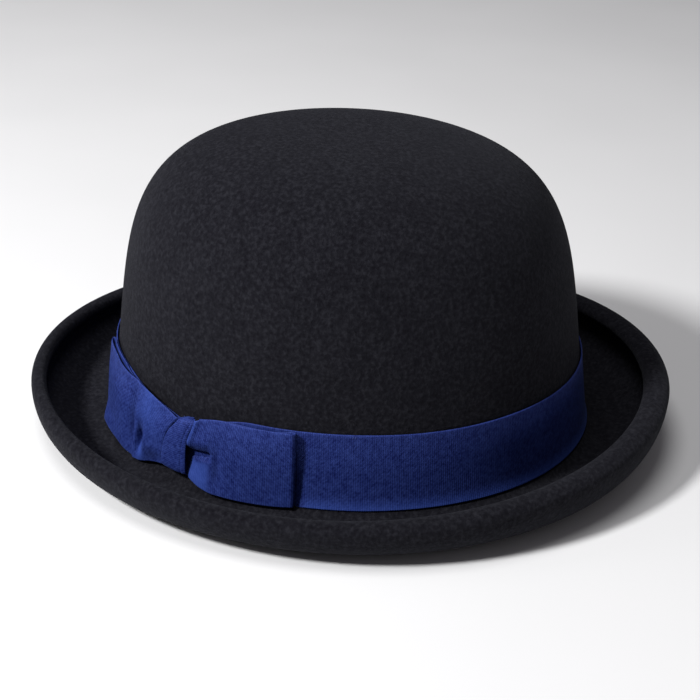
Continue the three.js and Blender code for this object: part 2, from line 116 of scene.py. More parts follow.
def dome(height):
    """The crown's width as a share of its foot's, at a height from 0 to 1."""
    height = np.clip(height, 0, 1)
    return (1 - TAPER * height) * (1 - height**DOME_INNER_POWER) ** (1 / DOME_OUTER_ROOT)


def lean(z):
    return -LEAN * np.clip((z - BAND_FOOT) / (TOP - BAND_FOOT), 0, 1)


def on_crown(inset, z, angle):
    """Points inset from the felt's outer face, at heights z and angles from the front."""
    inset, z, angle = np.broadcast_arrays(inset, z, angle)
    share = dome((z - BAND_FOOT) / (TOP - inset - BAND_FOOT))
    return np.stack(
        [
            (HALF_WIDTH - inset) * share * np.sin(angle),
            lean(z) - (HALF_LENGTH - inset) * share * np.cos(angle),
            z,
        ],
        -1,
    )


def outward(angle):
    normal = [np.sin(angle) / HALF_WIDTH, -np.cos(angle) / HALF_LENGTH, 0 * angle]
    normal = np.stack(normal, -1)
    return normal / np.linalg.norm(normal, axis=-1, keepdims=True)


def full_turn(count):
    return np.arange(count) * TAU / count


def ripple(angle, seed, amount):
    """A slow, deterministic unevenness round the hat."""
    total = 0 * angle
    for k in range(2, 9):
        total = total + np.sin(k * angle + 1.7 * seed + 2.3 * k) / k
    return amount * total


# distance round the ribbon, from the front, at mid height
ARC_ANGLES = np.linspace(0, TAU, 2881)
arc_points = on_crown(-FACE, BAND_FOOT + BAND_HEIGHT / 2, ARC_ANGLES)
arc_steps = np.linalg.norm(np.diff(arc_points, axis=0), axis=1)
ARC_LENGTHS = np.concatenate([[0], np.cumsum(arc_steps)])
GIRTH = ARC_LENGTHS[-1]


def angle_at(along):
    turns = np.floor(along / GIRTH)
    return np.interp(along - turns * GIRTH, ARC_LENGTHS, ARC_ANGLES) + turns * TAU


def on_band(along, height, depth):
    """along the ribbon from the front, height above its foot, depth out from its face."""
    along, height, depth = np.broadcast_arrays(along, height, depth)
    angle = angle_at(along)
    return on_crown(-FACE, BAND_FOOT + height, angle) + outward(angle) * depth[..., None]


# ---------------------------------------------------------------- mesh helpers


def new_object(name, verts_mm, faces, material, strip_coords=None, painted_light=None):
    mesh = bpy.data.meshes.new(name)
    mesh.from_pydata((np.asarray(verts_mm) / 1000).tolist(), [], faces)
    mesh.update()
    if strip_coords is not None:
        attribute = mesh.attributes.new("strip", "FLOAT_VECTOR", "POINT")
        attribute.data.foreach_set("vector", strip_coords.astype(np.float32).ravel())
    # painted light for the ribbon material: a painted highlight above 0, painted shade below 0
    if painted_light is not None:
        attribute = mesh.attributes.new("painted_light", "FLOAT", "POINT")
        attribute.data.foreach_set("value", painted_light.astype(np.float32))
    bm = bmesh.new()
    bm.from_mesh(mesh)
    bmesh.ops.recalc_face_normals(bm, faces=bm.faces)
    if bm.calc_volume(signed=True) < 0:
        bmesh.ops.reverse_faces(bm, faces=bm.faces)
    bm.to_mesh(mesh)
    bm.free()
    mesh.polygons.foreach_set("use_smooth", [True] * len(mesh.polygons))
    mesh.materials.append(material)
    ob = bpy.data.objects.new(name, mesh)
    scene.collection.objects.link(ob)
    return ob


def tube_faces(rows, cols, wrap_rows=False, base=0):
    """Quads over a grid of points whose columns close on themselves."""
    faces = []
    for i in range(rows if wrap_rows else rows - 1):
        here, after = base + i * cols, base + ((i + 1) % rows) * cols
        for j in range(cols):
            k = (j + 1) % cols
            faces.append((here + j, here + k, after + k, after + j))
    return faces


def swept(name, rings, material, poles=None):
    """A skin over rings of points, (rows, cols, 3). The first and last ring close on the two
    poles; with no poles the last ring joins the first."""
    rings = np.array(rings)
    rows, cols, _ = rings.shape
    verts = rings.reshape(-1, 3)
    faces = tube_faces(rows, cols, wrap_rows=poles is None)
    if poles is not None:
        first, last = len(verts), len(verts) + 1
        verts = np.vstack([verts, *poles])
        end = (rows - 1) * cols
        for j in range(cols):
            k = (j + 1) % cols
            faces.append((first, k, j))
            faces.append((last, end + j, end + k))
    return new_object(name, verts, faces, material)


def strip(name, mid, thick, material, along, across, margin, painted_light=None, wrap=False, edge=0.0):
    """A ribbon of even thickness round the surface mid, (rows, cols, 3), rows along its length
    and cols across its width. along, across and margin, the distance in from the nearest
    selvedge, are kept for the weave. edge is how much the selvedges swell."""
    rows, cols, _ = mid.shape
    if wrap:
        length_step = (np.roll(mid, -1, 0) - np.roll(mid, 1, 0)) / 2
    else:
        length_step = np.gradient(mid, axis=0)
    normal = np.cross(length_step, np.gradient(mid, axis=1))
    normal /= np.linalg.norm(normal, axis=-1, keepdims=True) + 1e-12
    side = np.abs(np.linspace(-1, 1, cols))
    half = thick / 2 * np.sqrt(np.clip(1 - side**24, 0, 1))
    half = half + edge * hump(side, 0.985, 0.02)
    half[0] = half[-1] = thick * 0.12
    offset = normal * half[None, :, None]

    def both_faces(upper, lower):
        return np.concatenate([upper, lower[:, ::-1]], 1)

    verts = both_faces(mid + offset, mid - offset).reshape(-1, 3)
    ring = 2 * cols
    faces = tube_faces(rows, ring, wrap_rows=wrap)
    if not wrap:
        for row, flip in ((0, False), (rows - 1, True)):
            start = row * ring
            for j in range(cols - 1):
                quad = (start + j, start + j + 1, start + ring - 2 - j, start + ring - 1 - j)
                faces.append(quad[::-1] if flip else quad)
    coords = [np.broadcast_to(part, (rows, cols)) for part in (along, across, margin)]
    coords = np.stack(coords, -1)
    coords = both_faces(coords, coords).reshape(-1, 3)
    # painted light, the same on both faces of the ribbon
    if painted_light is not None:
        painted_light = both_faces(painted_light, painted_light).ravel()
    return new_object(name, verts, faces, material, coords, painted_light)


def threads(name, stitches, radius, material, lift):
    """Short rounded threads, each (start, end, normal), lifted mid-way along the normal."""
    verts, faces = [], []
    sides, rows = 8, 7
    for start, end, normal in stitches:
        axis = (end - start) / np.linalg.norm(end - start)
        out = normal - axis * (normal @ axis)
        out /= np.linalg.norm(out)
        sideways = np.cross(axis, out)
        base = len(verts)
        for i in range(rows):
            f = i / (rows - 1)
            ring_radius = radius * math.sqrt(max(0.02, 1 - (2 * f - 1) ** 4))
            centre = start + (end - start) * f + out * lift * math.sin(math.pi * f)
            for k in range(sides):
                turn = TAU * k / sides
                spoke = math.cos(turn) * out + math.sin(turn) * sideways
                verts.append(centre + ring_radius * spoke)
        faces += tube_faces(rows, sides, base=base)
        faces.append(tuple(base + k for k in range(sides))[::-1])
        faces.append(tuple(base + (rows - 1) * sides + k for k in range(sides)))
    return new_object(name, verts, faces, material)


# ---------------------------------------------------------------- materials


class Shader:
    """A material with one Principled shader, and short ways to add nodes to it."""

    def __init__(self, name):
        self.material = bpy.data.materials.new(name)
        self.material.use_nodes = True
        self.tree = self.material.node_tree
        self.tree.nodes.clear()
        out = self.add("ShaderNodeOutputMaterial")
        self.bsdf = self.add("ShaderNodeBsdfPrincipled")
        self.feed(out.inputs[0], self.bsdf.outputs[0])

    def feed(self, socket, value):
        """Links a node's output to the socket, or sets the socket to a plain value."""
        if isinstance(value, bpy.types.NodeSocket):
            self.tree.links.new(value, socket)
        elif socket.type == "RGBA":
            socket.default_value = (*value, 1)
        else:
            socket.default_value = value

    def add(self, kind, inputs=None, **props):
        node = self.tree.nodes.new(kind)
        for key, value in props.items():
            setattr(node, key, value)
        for key, value in (inputs or {}).items():
            self.feed(node.inputs[key], value)
        return node

    def set(self, **values):
        """Principled inputs by name, with underscores for spaces."""
        for key, value in values.items():
            self.feed(self.bsdf.inputs[key.replace("_", " ")], value)

    def math(self, op, *values, clamp=False):
        inputs = dict(enumerate(values))
        return self.add("ShaderNodeMath", inputs, operation=op, use_clamp=clamp).outputs[0]

    def scaled(self, value, factor, offset):
        return self.math("ADD", self.math("MULTIPLY", value, factor), offset)

    def weighted_sum(self, *terms):
        """The sum of (value, weight) pairs."""
        total = None
        for value, weight in terms:
            part = self.math("MULTIPLY", value, weight)
            total = part if total is None else self.math("ADD", total, part)
        return total

    def stripes(self, value, pitch):
        """A sine wave from 0 to 1."""
        return self.scaled(self.math("SINE", self.math("MULTIPLY", value, TAU / pitch)), 0.5, 0.5)

    def noise(self, vector, scale, detail=2.0, roughness=0.5, output="Fac"):
        inputs = {"Scale": scale, "Detail": detail, "Roughness": roughness, "Vector": vector}
        return self.add("ShaderNodeTexNoise", inputs).outputs[output]

    def diagonal_wave(self, vector, scale, distortion=0.0):
        inputs = {"Scale": scale, "Distortion": distortion, "Vector": vector}
        kind = {"wave_type": "BANDS", "bands_direction": "DIAGONAL"}
        return self.add("ShaderNodeTexWave", inputs, **kind).outputs["Fac"]

    def warped(self, vector, position, scale, amount):
        """vector pushed about, by amount in metres, by a colour noise at position."""
        push = self.noise(position, scale, output="Color")
        inputs = {0: push, 1: (amount,) * 3, 2: vector}
        node = self.add("ShaderNodeVectorMath", inputs, operation="MULTIPLY_ADD")
        return node.outputs[0]

    def attribute(self, name, output):
        return self.add("ShaderNodeAttribute", attribute_name=name).outputs[output]

    def rest(self):
        """The rest place kept on the mesh, so that a texture stays put when a piece bends."""
        return self.attribute("rest", "Vector")

    def ramp(self, value, *stops):
        """Colours at places from 0 to 1."""
        node = self.add("ShaderNodeValToRGB", {0: value})
        elements = node.color_ramp.elements
        while len(elements) > 1:
            elements.remove(elements[-1])
        elements[0].position, elements[0].color = stops[0][0], (*stops[0][1], 1)
        for place, colour in stops[1:]:
            elements.new(place).color = (*colour, 1)
        return node.outputs[0]

    def mix(self, factor, first, second):
        inputs = {0: factor, 6: first, 7: second}
        return self.add("ShaderNodeMix", inputs, data_type="RGBA").outputs[2]

    def bump(self, height, strength, distance):
        inputs = {"Strength": strength, "Distance": distance, "Height": height}
        return self.add("ShaderNodeBump", inputs).outputs[0]


def felt_material():
    """Felted wool: soft mottling and fine matted fibre."""
    mat = Shader("black_wool_felt")
    place = mat.rest()
    mottle = mat.noise(place, scale=600, detail=2, roughness=0.55)
    cloud = mat.noise(place, scale=48, detail=3)
    stretch = {"Scale": (1.0, 1.0, 0.40), "Rotation": (0.5, 0.3, 0.7), "Vector": place}
    stretched = mat.add("ShaderNodeMapping", stretch).outputs[0]
    matted = mat.warped(stretched, place, scale=260, amount=0.004)
    fibre = mat.noise(matted, scale=1500, detail=3, roughness=0.7)
    colour = mat.ramp(
        mat.weighted_sum((mottle, 0.73), (cloud, 0.11), (fibre, 0.16)),
        (0.33, (0.0035, 0.0032, 0.0052)),
        (0.50, (0.0074, 0.0073, 0.0102)),
        (0.66, (0.0149, 0.0149, 0.0193)),
    )
    height = mat.weighted_sum((mottle, 0.6), (fibre, 0.5))
    mat.set(
        Base_Color=colour,
        Roughness=mat.scaled(fibre, factor=0.12, offset=0.86),
        Specular_IOR_Level=0.05,
        Sheen_Weight=0.033,
        Sheen_Roughness=0.6,
        Sheen_Tint=(0.75, 0.78, 0.9),
        Normal=mat.bump(height, strength=0.8, distance=0.0007),
    )
    return mat.material


def grosgrain_material(name, deep, bright, pitch=0.9):
    """Ribbed ribbon. Its strip attribute holds mm along, across and in from the selvedge."""
    mat = Shader(name)
    coords = mat.attribute("strip", "Vector")
    along, across, margin = mat.add("ShaderNodeSeparateXYZ", {0: coords}).outputs
    place = mat.rest()
    # ribs run across the ribbon; the warp threads that cross them break them into fine grains
    along = mat.math("ADD", along, mat.math("MULTIPLY", mat.noise(place, scale=260), 0.5))
    rib = mat.stripes(along, pitch)
    across = mat.math("ADD", across, mat.math("MULTIPLY", mat.noise(place, scale=200), 0.9))
    warp = mat.stripes(across, pitch=0.62)
    grain = mat.noise(place, scale=1150, detail=3, roughness=0.7)
    fleck = mat.noise(place, scale=540, roughness=0.65)
    cloud = mat.noise(place, scale=80)
    # 1 at the selvedge, fading out 1.4 mm in
    selvedge = mat.math("SUBTRACT", 1.0, mat.math("DIVIDE", margin, 1.4), clamp=True)
    selvedge = mat.math("POWER", selvedge, 0.7)
    slant = mat.stripes(mat.math("SUBTRACT", along, across), pitch=1.9)
    weave = mat.weighted_sum(
        (rib, 0.09), (warp, 0.05), (slant, 0.06), (grain, 0.24), (fleck, 0.50), (cloud, 0.10)
    )
    colour = mat.ramp(weave, (0.38, deep), (0.65, bright))
    selvedge_colour = tuple(min(1.0, c * 1.45 + 0.003) for c in bright)
    colour = mat.mix(mat.math("MULTIPLY", selvedge, 0.22), colour, selvedge_colour)
    # painted light: above 0 the attribute mixes in a paler blue, a painted highlight; below 0 a
    # darker one, painted shade in creases and gathers
    painted_light = mat.attribute("painted_light", "Fac")
    # the pale colour is for painted highlights, the dark one for painted shade
    pale = (bright[0] * 1.3 + 0.004, bright[1] * 1.5 + 0.010, bright[2] * 1.68)
    dark = tuple(c * 0.30 for c in deep)
    colour = mat.mix(mat.math("MULTIPLY", painted_light, 1.0, clamp=True), colour, pale)
    colour = mat.mix(mat.math("MULTIPLY", painted_light, -1.0, clamp=True), colour, dark)
    height = mat.weighted_sum((rib, 0.5), (warp, 0.22), (grain, 0.35), (fleck, 0.25))
    mat.set(
        Base_Color=colour,
        Roughness=mat.scaled(rib, factor=-0.08, offset=0.68),
        Specular_IOR_Level=0.10,
        Sheen_Weight=0.04,
        Sheen_Roughness=0.4,
        Sheen_Tint=(0.4, 0.55, 1),
        Normal=mat.bump(height, strength=0.6, distance=0.00016),
    )
    return mat.material


def leather_material(name, deep, bright, grain_scale=900):
    """Grained leather: uneven cells under a cloudy dye, with fine pores."""
    mat = Shader(name)
    place = mat.rest()
    uneven = mat.warped(place, place, scale=500, amount=0.0012)
    inputs = {"Scale": grain_scale, "Vector": uneven}
    cells = mat.add("ShaderNodeTexVoronoi", inputs, feature="DISTANCE_TO_EDGE")
    cell = mat.math("MULTIPLY", cells.outputs["Distance"], 3.0, clamp=True)
    cloud = mat.noise(place, scale=60, detail=4, roughness=0.6)
    pores = mat.noise(place, scale=2400)
    shade = mat.weighted_sum((cell, 0.35), (cloud, 0.65))
    height = mat.weighted_sum((cell, 0.8), (pores, 0.2))
    mat.set(
        Base_Color=mat.ramp(shade, (0.25, deep), (0.8, bright)),
        Roughness=mat.scaled(cloud, factor=0.2, offset=0.42),
        Specular_IOR_Level=0.4,
        Normal=mat.bump(height, strength=0.5, distance=0.00012),
    )
    return mat.material


def satin_material(name, deep, bright):
    """Smooth satin with a fine diagonal weave."""
    mat = Shader(name)
    place = mat.rest()
    weave = mat.diagonal_wave(place, scale=1100, distortion=0.6)
    cloud = mat.noise(place, scale=70, detail=3)
    fine = mat.noise(place, scale=2600, detail=1)
    shade = mat.weighted_sum((weave, 0.35), (cloud, 0.65))
    height = mat.weighted_sum((weave, 0.7), (fine, 0.3))
    mat.set(
        Base_Color=mat.ramp(shade, (0.2, deep), (0.85, bright)),
        Roughness=mat.scaled(cloud, factor=0.15, offset=0.3),
        Specular_IOR_Level=0.55,
        Anisotropic=0.4,
        Normal=mat.bump(height, strength=0.35, distance=0.00006),
    )
    return mat.material


def thread_material(name, deep, bright):
    """Twisted sewing thread."""
    mat = Shader(name)
    place = mat.rest()
    twist = mat.diagonal_wave(place, scale=1500)
    shade = mat.weighted_sum((twist, 0.6), (mat.noise(place, scale=1800), 0.4))
    mat.set(
        Base_Color=mat.ramp(shade, (0.2, deep), (0.8, bright)),
        Roughness=0.75,
        Specular_IOR_Level=0.25,
        Sheen_Weight=0.2,
        Normal=mat.bump(shade, strength=0.6, distance=0.0001),
    )
    return mat.material


# each with its deep colour, then its bright one
FELT_MAT = felt_material()
BLUE = grosgrain_material(
    "royal_blue_grosgrain", (0.0043, 0.0094, 0.083), (0.0245, 0.0442, 0.201)
)
BLUE_THREAD = thread_material("blue_thread", (0.012, 0.026, 0.125), (0.032, 0.060, 0.26))
LEATHER = leather_material(
    "tan_sweatband_leather", (0.115, 0.052, 0.022), (0.235, 0.118, 0.055)
)
REED = leather_material(
    "welt_leather", (0.045, 0.020, 0.010), (0.11, 0.052, 0.026), grain_scale=1200
)
PALE_THREAD = thread_material("pale_thread", (0.38, 0.30, 0.18), (0.62, 0.52, 0.34))
TIE = grosgrain_material(
    "brown_tie_ribbon", (0.035, 0.016, 0.009), (0.095, 0.045, 0.024), pitch=0.6
)
SATIN = satin_material("black_satin", (0.008, 0.008, 0.010), (0.022, 0.022, 0.026))


def label(ob, node):
    """Stores each point's rest place for the textures, and hides the CAD piece it stands for."""
    mesh = ob.data
    places = np.zeros(len(mesh.vertices) * 3, np.float32)
    mesh.vertices.foreach_get("co", places)
    attribute = mesh.attributes.get("rest") or mesh.attributes.new(
        "rest", "FLOAT_VECTOR", "POINT"
    )
    attribute.data.foreach_set("vector", places)
    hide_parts(node)


def finish_piece(ob, node):
    label(ob, node)
    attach(ob, "hat")


# ---------------------------------------------------------------- felt body

FELT_ANGLES = full_turn(360)
LIP_RISE = 3.74  # of the rolled lip's top over its middle
# the lip round the hat: its middle's distance out, its half width and its middle's height
LIP_REACH = (
    29
    + 1.2 * np.cos(FELT_ANGLES)
    + 0.8 * np.cos(2 * FELT_ANGLES)
    + ripple(FELT_ANGLES, 1.0, 0.28)
)
LIP_HALF = 4.4 - 1.2 * np.cos(FELT_ANGLES) + ripple(FELT_ANGLES, 2.0, 0.14)
LIP_Z = (
    19.25
    + 3.4 * np.cos(2 * FELT_ANGLES)
    - 3.3 * np.cos(FELT_ANGLES)
    + ripple(FELT_ANGLES, 3.0, 0.3)
)


def brim_ring(out, z):
    return np.stack(
        [
            (BRIM_HALF_WIDTH + out) * np.sin(FELT_ANGLES),
            -(BRIM_HALF_LENGTH + out) * np.cos(FELT_ANGLES),
            z + 0 * FELT_ANGLES,
        ],
        -1,
    )


def brim_arc(first, last, count, centre, radius):
    """Rings along part of an ellipse; centre and radius are (out, z), angles in degrees."""
    return [
        brim_ring(centre[0] + radius[0] * np.cos(a), centre[1] + radius[1] * np.sin(a))
        for a in np.radians(np.linspace(first, last, count))
    ]


def brim_flat(first, last, z):
    return [brim_ring(out, z) for out in np.linspace(first, last, 6)[1:-1]]


def dome_heights(inset, foot, count):
    """Heights from foot up to just under the top, evenly spaced along the dome's profile."""
    z = foot + (TOP - inset - foot) * (1 - (1 - np.linspace(0, 1, 4001)) ** 3)
    radius = (HALF_LENGTH - inset) * dome((z - BAND_FOOT) / (TOP - inset - BAND_FOOT))
    length = np.concatenate([[0], np.cumsum(np.hypot(np.diff(radius), np.diff(z)))])
    return np.interp(np.linspace(0, length[-1], count + 1)[:-1], length, z)


def crown_outside():
    rings = []
    for z in dome_heights(0, BREAK + FELT, 70)[::-1]:
        # a blocked felt is never dead even: very shallow hollows round the sides
        fade = np.clip((z - 20) / 60, 0, 1) * np.clip((TOP - z) / 30, 0, 1)
        hollow = fade * ripple(FELT_ANGLES + 0.004 * z, 5.0, 0.22)
        rings.append(on_crown(0, z, FELT_ANGLES) + outward(FELT_ANGLES) * hollow[:, None])
    return rings


def brim_top():
    foot = BREAK - FACE
    rings = brim_arc(190, 270, 12, (foot, FELT + BREAK), (BREAK, BREAK))
    rings += brim_flat(foot, FLOOR_END, FELT)
    inner_curl = (LIP_REACH + LIP_HALF - FELT - FLOOR_END, FELT - LIP_Z)
    rings += brim_arc(90, 8, 20, (FLOOR_END, LIP_Z), inner_curl)
    inner_lip = (LIP_HALF - FELT, LIP_RISE - FELT)
    return rings + brim_arc(0, 172, 12, (LIP_REACH, LIP_Z), inner_lip)


def brim_underside():
    # the cut edge of the lip, softly rounded
    edge = (LIP_REACH - LIP_HALF + FELT / 2, LIP_Z - 0.35)
    rings = brim_arc(0, -180, 11, edge, (FELT / 2 * 0.98, 1.15))
    rings += brim_arc(176, 0, 26, (LIP_REACH, LIP_Z), (LIP_HALF, LIP_RISE))
    for a in np.radians(np.linspace(4, 90, 26)):
        # the curl is a little squarer than a quarter of an ellipse
        out, fall = np.cos(a) ** 0.9, np.sin(a) ** 0.97
        reach = LIP_REACH + LIP_HALF - FLOOR_END
        rings.append(brim_ring(FLOOR_END + reach * out, LIP_Z * (1 - fall)))
    foot, radius = UNDER_BREAK - FACE, UNDER_BREAK + FELT
    rings += brim_flat(FLOOR_END, foot, 0)
    return rings + brim_arc(270, 190, 10, (foot, radius), (radius, radius))


def crown_inside():
    heights = dome_heights(FELT, UNDER_BREAK + FELT + 0.9, 50)
    return [on_crown(FELT, z, FELT_ANGLES) for z in heights]


felt = swept(
    "felt_hood",
    crown_outside() + brim_top() + brim_underside() + crown_inside(),
    FELT_MAT,
    poles=((0, lean(TOP), TOP), (0, lean(TOP), TOP - FELT)),
)
finish_piece(felt, "felt_body")

# ---------------------------------------------------------------- ribbon


def band():
    rows, cols = 1000, 33
    along = (np.arange(rows) * GIRTH / rows)[:, None]
    rise = np.linspace(0, 1, cols)
    rise = 0.5 - 0.5 * np.cos(np.pi * rise) * (1 - 0.35 * np.sin(np.pi * rise) ** 2)
    height = rise * BAND_HEIGHT
    angle = angle_at(along)
    # under the bow the ribbon is drawn together into soft creases
    past_middle = along - BOW_PLACE + 2
    pull = 1 - smooth(np.abs(past_middle) / np.where(past_middle < 0, 44, 35), 0, 1)
    pull = np.where(np.abs(along - BOW_PLACE) < 60, pull, 0)
    # 1 where the ribbon is clear of the bow
    clear = np.where(
        along < BOW_PLACE,
        smooth(BOW_PLACE - along, 60, 70),
        smooth(along - BOW_PLACE, 49.5, 55),
    )
    clear = np.where(along > GIRTH / 2, 1.0, clear)
    # the top edge stands off the felt a hair more, and both edges wander slightly
    lift = 0.12 + 0.12 * rise**3 + 0.05 * np.sin(7 * angle + 1) * rise**2
    lift = lift + 0.10 * pull * np.sin(2 * np.pi * 4 * rise)
    foot = np.clip(1 - height / 6.0, 0, 1)
    lift = lift + clear * (0.25 * (1 - rise) ** 2 + 0.65 * foot**2)
    low, high = 1.2 * pull + 0.75 * clear, BAND_HEIGHT - 7.4 * pull
    wander = 0.14 * np.sin(3 * angle + 0.6) + 0.10 * np.sin(8 * angle + 2.0)
    pulled_height = low + (high - low) * rise + wander * (rise - 0.4)
    # painted highlight along the foot where it shows, in place of light caught by its flare
    foot_highlight = np.clip(1 - height / 5.5, 0, 1) ** 1.1
    return strip(
        "grosgrain_band",
        on_band(along, pulled_height, -RIBBON / 2 + lift),
        RIBBON * 0.85,
        BLUE,
        along=along,
        across=height,
        margin=np.minimum(height, BAND_HEIGHT - height),
        painted_light=0.46 * clear * foot_highlight * smooth(np.abs(along - BOW_PLACE), 53.5, 55.5),
        wrap=True,
        edge=0.05,
    )


finish_piece(band(), "hatband")

# ---------------------------------------------------------------- bow

# how far each loop's fold is from the knot's middle, at its foot and at its top
FRONT_END = (56.5, 63.0)
REAR_END = (50.3, 50.8)
# the loops' edges: distance from the knot's middle, height above the ribbon's foot
FRONT_LOW = [
    (-4, 4.6), (2, 4.4), (7.6, 3.7), (13.8, 2.0), (17.8, 0.5), (21.6, -0.7),
    (26.6, -1.2), (32.5, -0.2), (39, 0.3), (47, 0.3), (56.5, -0.5), (63, -0.8),
]
FRONT_HIGH = [
    (-4, 27.4), (0, 28.5), (3.2, 29.3), (7, 30.3), (10.1, 31.3), (14.3, 32.5), (18.8, 32.9),
    (24.2, 33.2), (29.3, 33.5), (36, 33.6), (44, 33.4), (54, 33.8), (64, 34.7),
]
REAR_LOW = [
    (0, 5.2), (6, 4.2), (8.5, 3.0), (12.2, 1.5), (18, 0.6),
    (24, 0.5), (30, 0.5), (42, 0.75), (51, 1.3),
]
REAR_HIGH = [
    (0, 28.4), (8, 29.7), (11, 30.9), (14.5, 32.1), (18, 32.9),
    (22, 33.4), (29, 33.1), (40, 33.6), (51, 33.6),
]
# the under layer's top edge, drawn down under the gathers
FRONT_UNDER = [
    (-4, 25), (10, 28.2), (20, 29.6), (30, 31.0), (36, 32.2), (41, 33.8), (52, 34.4), (64, 35.0),
]
REAR_UNDER = [(0, 26), (12, 29.6), (22, 31.4), (40, 31.6), (46, 32.2), (51, 33.4)]
# the edges of the knot's face: height, distance rearward from the knot's middle
KNOT_FRONT = [
    (3, -6.6), (5, -6.5), (11.2, -5.8), (16.1, -5.0), (22.4, -2.7), (28.3, 1.1), (31, 2.2),
]
KNOT_REAR = [(3, 6.2), (5, 6.2), (16.1, 6.2), (20.6, 6.7), (26.6, 8.6), (31.1, 10.2)]
TUCK = 3.0  # how far a loop runs in under the knot
FOLD = 1.75  # reach of the turn at a loop's end

# In the four functions below, run is the distance from the knot's middle in mm and rise goes
# from 0 at the loop's foot to 1 at its top. Depths are in mm; painted light runs from painted
# shade below 0 to a painted highlight above 0.


def past_front_edge(run, rise):
    """Distance from the knot's slanted front edge."""
    return run + curve(KNOT_FRONT, 5 + 24 * rise)


def past_rear_edge(run, rise):
    return run - curve(KNOT_REAR, 5 + 25 * rise)


def front_depth(run, rise):
    """How far the front loop's outer layer stands off the ribbon."""
    past = past_front_edge(run, rise)
    neck = 1 - smooth(run, 12, 25)
    low = 1 - smooth(rise, 0.0, 0.28)
    depth = 3.0 + 1.6 * smooth(past, -0.6, 1.0)
    # the gathered neck swells between the knot and the hollow
    swell = np.sin(np.pi * np.clip(rise * 0.9 + 0.04, 0, 1))
    depth = depth + 0.75 * hump(run, 14.0, 5.0) * swell
    # the loop is pressed flat towards its fold, and flares a little at the foot
    depth = depth - 1.6 * smooth(run, 32, 58) + 1.5 * low * smooth(run, 34, 54)
    depth = depth - 1.5 * low * neck
    # upright crease where the neck opens out
    crease = 1.8 * skew_hump(run, 26.3 - 0.8 * rise, below=1.6, above=3.2)
    fade = (0.55 + 0.45 * smooth(rise, 0.0, 0.35)) * (1 - 0.75 * smooth(rise, 0.7, 1.0))
    depth = depth - crease * fade
    # leaf-shaped hollow low down, steep on its far side, with a bright petal beside it
    leaf = skew_hump(run + 4.0 * (rise - 0.29), 21.3, below=2.9, above=1.1)
    depth = depth - 3.1 * leaf * hump(rise, 0.29, 0.18)
    petal = hump(run + 2.0 * (rise - 0.30), 16.4, 1.5) * hump(rise, 0.29, 0.20)
    depth = depth + 0.55 * petal
    # a small swelling at the hollow's foot
    depth = depth + 0.5 * hump(run, 19.6, 2.2) * hump(rise, 0.10, 0.09)
    # soft drape lines that run out of the knot
    drape = np.sin(9.5 * rise + 0.4 * run) * (1 - smooth(run, 9, 26))
    depth = depth + 0.14 * drape * smooth(past, 0, 4)
    # the top edge leans in to the ribbon
    top = 0.8 + 0.6 * smooth(run, 14, 24) - 0.9 * smooth(run, 46, 60)
    return depth - top * smooth(rise, 0.62, 1.0) * smooth(run, -2, 8)


def front_painted_light(run, rise):
    clear = smooth(past_front_edge(run, rise), 0.5, 2.5)
    # painted highlight on the neck, more so towards its top, and on the swelling at the hollow's
    # foot
    painted_light = 0.10 * hump(run, 12, 8) * clear
    painted_light = painted_light + 0.24 * hump(run, 16, 6) * smooth(rise, 0.35, 0.75) * clear
    painted_light = painted_light + 0.55 * hump(run, 19.6, 2.4) * hump(rise, 0.13, 0.12)
    # painted shade in the upright crease and low on the neck
    painted_light = painted_light - 0.42 * hump(run, 27.3, 1.3) * hump(rise, 0.48, 0.28)
    return painted_light - 0.25 * hump(run, 13.0, 3.0) * hump(rise, 0.10, 0.14)


def rear_fold(run, rise):
    """The rear loop's fold beside the knot: the rise of the upper lobe's edge, the width of
    the slit under it, and a mask that is 1 above the edge."""
    edge = 0.505 + 0.0035 * (run - 7)
    slit = 0.150 - 0.035 * smooth(run, 7, 14)
    return edge, slit, smooth(rise, edge - 0.010, edge + 0.010)


def rear_depth(run, rise):
    """How far the rear loop's outer layer stands off the ribbon."""
    past = past_rear_edge(run, rise)
    high = smooth(rise, 0.52, 0.60)
    depth = 3.3 + 1.3 * smooth(past, -0.6 - 0.9 * high, 1.2 - 1.2 * high)
    # a raised edge catches the light beside the knot
    depth = depth + 0.65 * skew_hump(past, 0.4, below=0.8, above=1.5) * high
    # the loop's middle is full; its top, and its foot towards the fold, lie closer in
    depth = depth + 0.35 * hump(run, 33, 13) * np.sin(np.pi * np.clip(rise, 0, 1))
    depth = depth - 0.5 * smooth(rise, 0.80, 1.0) * smooth(run, 8, 20)
    outer = np.clip((run - 18) / 33, 0, 1) ** 1.15
    depth = depth - 2.2 * outer * np.clip(1 - rise, 0, 1) ** 0.75
    # the ribbon is pressed into a fold beside the knot: the upper lobe curls over a dark slit,
    # with the lower petal under it
    edge, slit_width, upper = rear_fold(run, rise)
    fold = 1 - smooth(run, 15.4, 17.2)
    curl = np.clip((edge + 0.17 - rise) / 0.17, 0, 1)
    depth = depth + fold * upper * (0.35 * hump(rise, edge + 0.15, 0.12) - 1.5 * curl**2)
    drop = 3.3 * (1 - 0.80 * smooth(run, 3.0, 15.5)) * (1 - smooth(run, 13.6, 18.6))
    depth = depth - (1 - upper) * drop * (0.30 + 0.70 * smooth(rise, 0.0, 0.34))
    slit_foot = edge - slit_width
    slit = fold * (1 - upper) * smooth(rise, slit_foot - 0.014, slit_foot + 0.006)
    floor_depth = 1.4
    depth = np.maximum(depth * (1 - slit) + floor_depth * slit, floor_depth)
    # upright crease at the petal's far side, dying out towards the top
    crease = 0.70 * skew_hump(run, 19.2, below=2.0, above=2.6)
    depth = depth - crease * smooth(rise, 0.02, 0.30) * (1 - smooth(rise, 0.45, 0.80))
    # soft drape lines on the upper lobe
    drape = np.sin(11 * rise + 0.5 * run) * (1 - smooth(run, 8, 22))
    return depth + 0.12 * drape * smooth(past, 0, 4) * upper


